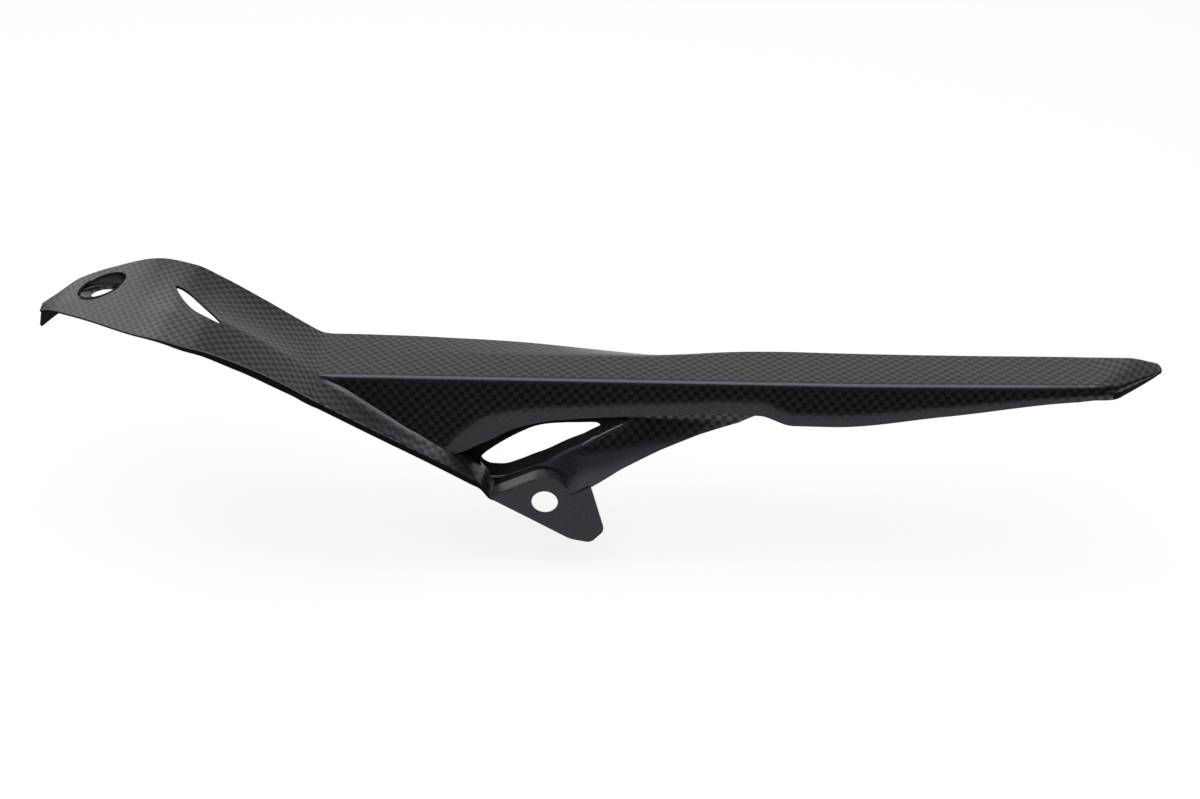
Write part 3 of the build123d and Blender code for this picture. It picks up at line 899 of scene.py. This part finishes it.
# %% Outline of the web
web_outline = np.array([
    (-37.0, 16.0), (-29.0, 10.0), (-27.0, 4.0), (-20.6, 1.8), (-4.4, 9.4),
    (4.0, 9.6), (10.5, 0.5), (17.4, 6.6), (28.3, 13.0), (43.2, 19.6),
    (58.0, 25.1), (72.7, 29.7), (80.0, 33.4), (81.9, 38.3), (-37.0, 38.3),
])
# Blocks that cut the web reach from in front of it to behind it
cut_front = -20.0
cut_start = np.zeros(3)
cut_depth = np.array([0, 60.0, 0])
cut(web, prism("web_trim", at_y(web_outline, cut_front), cut_start, cut_depth, black_edge_and_shade), "INTERSECT")

# %% [markdown]
# ### Window
# The window is one smooth closed curve. Its lower edge has a table of its own, because the flange follows it.

# %% Window
# Lower edge of the window: X, Z and the rise of the flange inboard
window_lower = np.array([
    (-21.2, 4.4, 1.9),
    (-16.6, 4.8, 1.4),
    (-10.3, 7.3, 1.2),
    (-5.6, 9.5, 1.4),
    (-0.4, 12.2, 1.7),
    (5.5, 16.8, 1.1),
    (11.2, 20.9, 0.6),
    (16.8, 24.2, -0.1),
    (19.0, 25.2, -0.3),
])
window_rest = np.array([
    (20.7, 27.0),
    (20.4, 28.8),
    (18.5, 29.4),
    (11.1, 29.1),
    (1.6, 28.1),
    (-4.1, 26.8),
    (-9.7, 24.2),
    (-15.5, 20.8),
    (-21.2, 16.8),
    (-24.4, 13.8),
    (-25.2, 11.0),
    (-24.0, 7.4),
])
window_steps = 10


def closed_curve(points, per):
    """A smooth closed curve through points: each span is a cubic whose slopes follow its neighbours."""
    before = np.roll(points, 1, axis=0)
    after = np.roll(points, -1, axis=0)
    second = np.roll(points, -2, axis=0)
    gap = np.linalg.norm(after - points, axis=1)[:, None]
    gap_before = np.roll(gap, 1, axis=0)
    gap_after = np.roll(gap, -1, axis=0)
    slope = gap * (after - before) / (gap + gap_before)
    slope_after = gap * (second - points) / (gap + gap_after)
    t = steps(per)[None, :, None]
    start = points[:, None] * (1 + 2 * t) * (1 - t) ** 2 + slope[:, None] * t * (1 - t) ** 2
    end = after[:, None] * t * t * (3 - 2 * t) + slope_after[:, None] * t * t * (t - 1)
    return (start + end).reshape(-1, points.shape[1])


window_edge = closed_curve(np.concatenate([window_lower[:, :2], window_rest]), window_steps)
cut(web, prism("window_cut", at_y(window_edge, cut_front), cut_start, cut_depth, black_edge_and_shade))

# %% [markdown]
# ### Window flange
# The flange laps over the web below the window, turns a rounded ridge and runs inboard. A paler, glossier
# film paints a highlight on the ridge, and the part inboard of it is drawn black as painted shade.

# %% Window flange
flange_depth = 7.0
flange_lap = 1.6
flange_proud = 0.05
ridge_rise = 0.2
flange_round = 1.4
flange_rows = 90
flange_runs = [steps(4), steps(10, end=True)]
flange_line_column = 7
flange_line_columns = 3
flange_shade_columns = 10
flange_lead = np.array([(-26.2, 9.4, 1.6), (-24.4, 6.0, 2.0)])
flange_tail = np.array([(29.0, 29.2, -0.6)])

flange_path = np.concatenate([flange_lead, window_lower, flange_tail])
lower_x = np.linspace(flange_path[0, 0], flange_path[-1, 0], flange_rows)
lower_z, rise = through(flange_path, lower_x).T
below_z = lower_z - flange_lap
below = np.column_stack([lower_x, web_y(lower_x, below_z) - flange_proud, below_z])
ridge = np.column_stack([lower_x, web_y(lower_x, lower_z) - flange_proud, lower_z + ridge_rise])
inner = ridge + np.column_stack([0 * lower_x, np.full(len(lower_x), flange_depth), rise])
flange_grid = rounded(np.stack([below, ridge, inner], axis=1), [flange_round], flange_runs)
flange_weave = np.dstack([flange_grid[:, :, 0], lengths_along(flange_grid, 1)])
flange_column = np.arange(flange_grid.shape[1])
# Painted highlight on the ridge, and painted shade inboard of it
flange_line = np.clip(flange_line_columns - np.abs(flange_column - flange_line_column), 0, 1)
flange_shade = flange_column[:-1] > flange_shade_columns
reveal = piece_from("window_flange", [(flange_grid, flange_weave, -flange_line, flange_shade)], wall)

# %% [markdown]
# ## Bracket
# The bracket is a flat plate with the rear bolt's hole. Its grid runs round the hole: each row goes from the
# outer edge to the hole and back on the other side.

# %% Bracket plate
hole_radius = 5.0
boss_radius = 11.0
boss_foot = np.array([-20.6, 2.4])
boss_shoulder = math.radians(115)
boss_end = math.radians(20)
plate_y = 0.04
bracket_round = 2.0
edge_round = 0.35
hole_round = 0.1
# The hole runs ahead of the outline at the shoulder, where the outline goes straight away from the hole
hole_lead = math.radians(18)
shoulder_run = 8.0
bracket_points = np.array([(17.4, 7.6), (22.9, -12.7), (17.8, -18.3), (9.8, -16.8), (-20.6, 1.2)])
outline_runs = [steps(14), steps(30), steps(12), steps(14), steps(90)]
bracket_runs = [steps(4), steps(14), steps(4), steps(8, end=True)]
bracket_turn = 6
boss_line_rows = 20
boss_arc_rows = 40


def arc(radius, start, end, count):
    """Points on an arc round the bolt hole, as X and Z."""
    turn = np.linspace(start, end, count)
    return radius * np.column_stack([np.cos(turn), np.sin(turn)])


outline = np.concatenate([arc(boss_radius, boss_end, boss_end, 1), bracket_points])
outline = np.column_stack([outline, np.zeros(len(outline))])[None]
edge = rounded(outline, (len(outline_runs) - 1) * [bracket_round], outline_runs)[0, :, :2]
boss_rise = arc(boss_radius, boss_shoulder, boss_shoulder, 1) - boss_foot
boss_line = boss_foot + boss_rise * steps(boss_line_rows)[:, None]
edge = np.concatenate([edge, boss_line, arc(boss_radius, boss_shoulder, boss_end, boss_arc_rows)])
edge_angle = np.unwrap(np.arctan2(edge[:, 1], edge[:, 0]))
edge_path = lengths_along(edge[None], 1)[0]
edge_angle = np.minimum(edge_angle, boss_end - hole_lead * np.clip(edge_path / shoulder_run, 0, 1))
hole = hole_radius * np.column_stack([np.cos(edge_angle), np.sin(edge_angle)])
bracket_corners = np.stack([
    at_y(edge, plate_y + wall),
    at_y(edge, plate_y),
    at_y(hole, plate_y),
    at_y(hole, plate_y + wall),
    at_y(edge, plate_y + wall),
], axis=1)
bracket_cuts = [edge_round, edge_round, hole_round]
bracket_grid = rounded(bracket_corners, bracket_cuts, bracket_runs, turn=bracket_turn)[::-1]
bracket = piece_from("bracket_plate", [(bracket_grid, bracket_grid[:, :, [0, 2]], 0.0, False)])

# %% [markdown]
# ## Boss wall
# Along the bracket's upper edge the cloth turns inboard and makes a boss wall, a shelf that stiffens the
# hole. It has a narrow lip on the plate's face, and its inboard part is drawn black as painted shade.

# %% Boss wall
boss_depth = 11.5
boss_wall_end = math.radians(12)
boss_wall_rows = 60
boss_round = 1.3
# Way along the boss and width of the lip on the plate's face
boss_lip_table = np.array([(0.0, 1.6), (0.75, 1.6), (1.0, 0.3)])
boss_runs = [steps(4), steps(12, end=True)]
boss_shade_columns = 17

boss_path = np.concatenate([boss_line, arc(boss_radius, boss_shoulder, boss_wall_end, boss_wall_rows)])
boss_along = np.gradient(boss_path, axis=0)
boss_in = np.column_stack([boss_along[:, 1], -boss_along[:, 0]])
boss_in /= np.linalg.norm(boss_in, axis=1, keepdims=True)
boss_lip = through(boss_lip_table, steps(len(boss_path), end=True))
boss_corners = np.stack([
    at_y(boss_path + boss_lip * boss_in, 0.0),
    at_y(boss_path, 0.0),
    at_y(boss_path, boss_depth),
], axis=1)
boss_grid = rounded(boss_corners, [boss_round], boss_runs)
boss_weave = np.dstack([boss_grid[:, :, 0], lengths_along(boss_grid, 1)])
boss_shade = np.arange(boss_grid.shape[1] - 1) > boss_shade_columns
boss = piece_from("boss_wall", [(boss_grid, boss_weave, 0.0, boss_shade)], wall)

# %% [markdown]
# ## Assembly
# Every piece rides with the guard's one body, and the imported guard is hidden.

# %% Assembly
pieces = (shell, seat_piece, lip_piece, web, reveal, bracket, boss)
for piece in pieces:
    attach(piece, "root")
    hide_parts("chain_guard")
print("pieces:", [piece.name for piece in pieces])

# %% [markdown]
# ## Table
# The guard is photographed over white paper. The camera sees it near white, with a faint part of the guard's
# shadow. To all other light it is plain matt paper.

# %% Table
table_z = -0.030
reach = 4.0
glow_strength = 1.1
shadow_share = 0.25
table_corners = [(-reach, -reach), (reach, -reach), (reach, reach), (-reach, reach)]
table_mesh = bpy.data.meshes.new("table")
table_mesh.from_pydata([(x, y, table_z) for x, y in table_corners], [], [(0, 1, 2, 3)])
table = bpy.data.objects.new("table", table_mesh)
bpy.context.scene.collection.objects.link(table)
paper = bpy.data.materials.new("white_table_paper")
paper.use_nodes = True
tree = paper.node_tree
tree.nodes.clear()
sees = add(tree, "ShaderNodeLightPath").outputs["Is Camera Ray"]
matt = add(tree, "ShaderNodeBsdfDiffuse", {"Color": linear("#ececec")})
glow = add(tree, "ShaderNodeEmission", {"Color": (1, 1, 1, 1), "Strength": glow_strength})
seen = add(tree, "ShaderNodeMixShader", {0: shadow_share, 1: glow.outputs[0], 2: matt.outputs[0]})
both_ways = add(tree, "ShaderNodeMixShader", {0: sees, 1: matt.outputs[0], 2: seen.outputs[0]})
add(tree, "ShaderNodeOutputMaterial", {0: both_ways.outputs[0]})
table_mesh.materials.append(paper)
print("table:", 2 * reach, "m wide")

# %% [markdown]
# ## Lights
# A wide overhead softbox, with a white card behind the guard and one to its left. The room behind the camera
# is dark, so the leaning side face, which looks that way, goes nearly black, and faces that look down at the
# table turn grey.

# %% Lights
def softbox(name, size, power, colour, place, target):
    """An area light that faces a target."""
    lamp = bpy.data.lights.new(name, "AREA")
    lamp.shape = "RECTANGLE"
    lamp.size, lamp.size_y = size
    lamp.energy = power
    lamp.color = linear(colour)[:3]
    box = bpy.data.objects.new(name, lamp)
    bpy.context.scene.collection.objects.link(box)
    box.location = place
    aim = mathutils.Vector(target) - mathutils.Vector(place)
    box.rotation_euler = aim.to_track_quat("-Z", "Y").to_euler()
    box.visible_camera = False
    print("light:", name, power, "W")


softbox("overhead_softbox", size=(1.8, 1.6), power=21.5, colour="#f2f8ff",
        place=(0.0, -0.08, 1.3), target=(0.0, -0.08, 0.0))
softbox("back_card", size=(6.5, 1.45), power=17.8, colour="#ffffff",
        place=(0.0, 1.5, 0.74), target=(0.0, 0.0, 0.05))
softbox("left_card", size=(1.7, 1.4), power=5.2, colour="#ffffff",
        place=(-1.5, 1.3, 1.0), target=(-0.15, 0.05, 0.05))

# %% [markdown]
# ## Room
# The camera sees white round the table, and the guard reflects a dim grey room.

# %% Room
room_strength = 0.15
world = bpy.data.worlds.new("room")
bpy.context.scene.world = world
world.use_nodes = True
tree = world.node_tree
tree.nodes.clear()
sees = add(tree, "ShaderNodeLightPath").outputs["Is Camera Ray"]
white = add(tree, "ShaderNodeBackground", {0: (1, 1, 1, 1), 1: 1.0})
room = add(tree, "ShaderNodeBackground", {0: linear("#8f9094"), 1: room_strength})
mixed = add(tree, "ShaderNodeMixShader", {0: sees, 1: room.outputs[0], 2: white.outputs[0]})
add(tree, "ShaderNodeOutputWorld", {0: mixed.outputs[0]})
bpy.context.scene.view_settings.view_transform = "Standard"
print("world:", world.name)

# %% [markdown]
# ## Camera
# The photo looks down at the guard by thirty degrees from its outer side, with a slight roll.

# %% Camera
look_angle = math.radians(60)
roll_angle = math.radians(1.1)
lens = bpy.data.cameras.new("camera")
lens.sensor_width = 36.0
lens.lens = 41.19
camera = bpy.data.objects.new("camera", lens)
bpy.context.scene.collection.objects.link(camera)
camera.location = (0.0203, -0.4320, 0.2952)
look = mathutils.Matrix.Rotation(look_angle, 4, "X")
roll = mathutils.Matrix.Rotation(roll_angle, 4, "Z")
camera.rotation_euler = (look @ roll).to_euler()
bpy.context.scene.camera = camera
print("camera at", list(camera.location))
